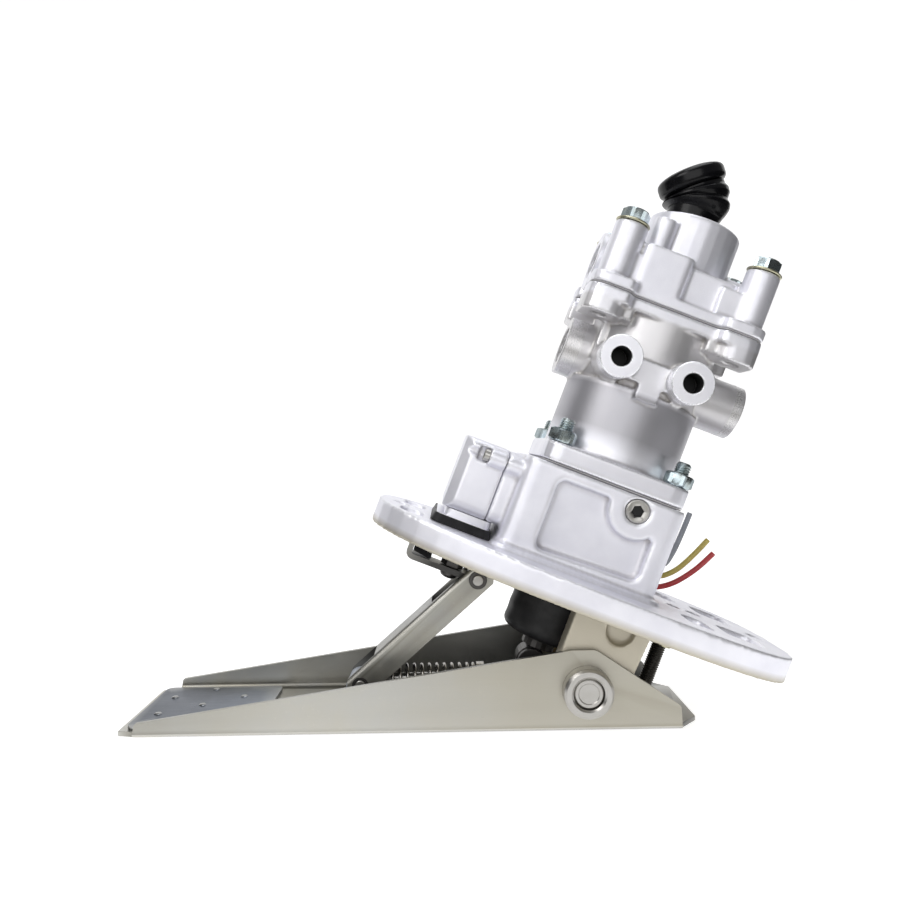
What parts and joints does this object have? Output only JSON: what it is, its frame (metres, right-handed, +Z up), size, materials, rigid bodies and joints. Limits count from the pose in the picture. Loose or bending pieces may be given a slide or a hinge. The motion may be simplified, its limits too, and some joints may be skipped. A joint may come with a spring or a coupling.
{
  "type": "truck foot brake valve",
  "caption": "Floor-mounted foot brake valve: a tilted cast air valve on an oval plate, hinged over a folded sheet-steel pedal with a link and return spring.",
  "frame": {"origin": "on the pedal's sole, straight below the pedal pivot, at the pedal's middle plane", "axes": "+X from the pedal's toe to its heel, +Y along the pivot pin to the pedal's left wall, +Z up from the sole through the valve"},
  "size_m": [0.3469, 0.13, 0.2964],
  "materials": {
    "cast_aluminium": "matte blasted casting",
    "machined_aluminium": "smooth satin casting",
    "zinc_sheet": "cream passivated zinc plating",
    "bright_steel": "satin bright steel",
    "blue_zinc": "bluish zinc plating",
    "dark_steel": "dark oiled steel",
    "black_rubber": "glossy moulded rubber",
    "bush_bronze": "bronze bushing",
    "slider_nylon": "grey nylon",
    "gasket_paper": "dark gasket sheet",
    "red_wire": "red wire insulation",
    "yellow_wire": "yellow wire insulation",
    "grey_wire": "grey wire insulation"
  },
  "bodies": {
    "housing": {"base_casting": "cast_aluminium", "sensor_cover": "cast_aluminium", "exhaust_cap": "cast_aluminium", "valve_body": "machined_aluminium", "reaction_piston": "machined_aluminium", "link_bracket": "zinc_sheet", "stop_lock_nut": "zinc_sheet", "cover_screw_near": "bright_steel", "cover_screw_far": "bright_steel", "side_plug": "bright_steel", "flange_nut_far_left": "bright_steel", "flange_nut_far_right": "bright_steel", "flange_nut_near_left": "bright_steel", "flange_nut_near_right": "bright_steel", "graduating_spring": "bright_steel", "piston_return_spring": "bright_steel", "flange_stud_far_left": "blue_zinc", "flange_stud_far_right": "blue_zinc", "flange_stud_near_left": "blue_zinc", "flange_stud_near_right": "blue_zinc", "cap_bolt_far_left": "blue_zinc", "cap_bolt_far_right": "blue_zinc", "cap_bolt_near_left": "blue_zinc", "cap_bolt_near_right": "blue_zinc", "bracket_screw": "dark_steel", "bracket_spacer": "dark_steel", "link_hinge_pin": "dark_steel", "stop_bolt": "dark_steel", "cover_seal": "black_rubber", "exhaust_elbow": "black_rubber", "plunger_boot": "black_rubber", "bracket_bumper": "black_rubber", "wire_grommet": "black_rubber", "plunger_guide": "bush_bronze", "pivot_bush_far": "bush_bronze", "pivot_bush_near": "bush_bronze", "body_gasket": "gasket_paper", "cap_gasket": "gasket_paper", "wire_red": "red_wire", "wire_yellow": "yellow_wire", "wire_grey": "grey_wire"},
    "pedal": {"pedal_channel": "zinc_sheet", "tread_plate": "zinc_sheet", "slide_plate": "bright_steel", "spring_abutment": "zinc_sheet", "return_spring": "bright_steel", "roller_bracket": "zinc_sheet", "roller_pin": "bright_steel", "pivot_pin": "bright_steel", "pivot_collar_far": "bright_steel", "pivot_collar_near": "bright_steel"},
    "roller": {"push_roller": "bright_steel"},
    "link_arm_body": {"link_arm": "zinc_sheet"},
    "slider": {"slider_block": "slider_nylon", "slider_rod": "bright_steel", "rod_nut": "bright_steel", "link_slider_pin": "bright_steel"},
    "plunger_body": {"plunger": "bright_steel"}
  },
  "joints": [
    {"name": "pedal_hinge", "type": "hinge", "parent": "housing", "child": "pedal", "pos_m": [0, 0, 0.021], "axis": [0, 1, 0], "range_deg": [0, 18], "stiffness_Nm_per_rad": 12, "springref_deg": -17.19, "deforming": ["return_spring"]},
    {"name": "roller_spin", "type": "hinge", "parent": "pedal", "child": "roller", "pos_m": [-0.02468, 0, 0.02661], "axis": [0, 1, 0], "continuous": true},
    {"name": "link_hinge", "type": "hinge", "parent": "housing", "child": "link_arm_body", "pos_m": [-0.05261, 0, 0.07231], "axis": [0, 1, 0], "range_deg": [0, 33.3]},
    {"name": "slider_hinge", "type": "hinge", "parent": "link_arm_body", "child": "slider", "pos_m": [-0.11614, 0, 0.0172], "axis": [0, 1, 0], "range_deg": [-15.3, 0]},
    {"name": "plunger_slide", "type": "slide", "parent": "housing", "child": "plunger_body", "axis": [0.3714, 0, 0.9285], "range_m": [0, 0.008], "deforming": ["graduating_spring", "plunger_boot"]}
  ],
  "couplings": [
    {"joint": "link_hinge", "follows": "pedal_hinge", "ratio": 1.8475},
    {"joint": "slider_hinge", "follows": "pedal_hinge", "ratio": -0.8475},
    {"joint": "plunger_slide", "follows": "pedal_hinge", "m_per_rad": 0.0252}
  ]
}
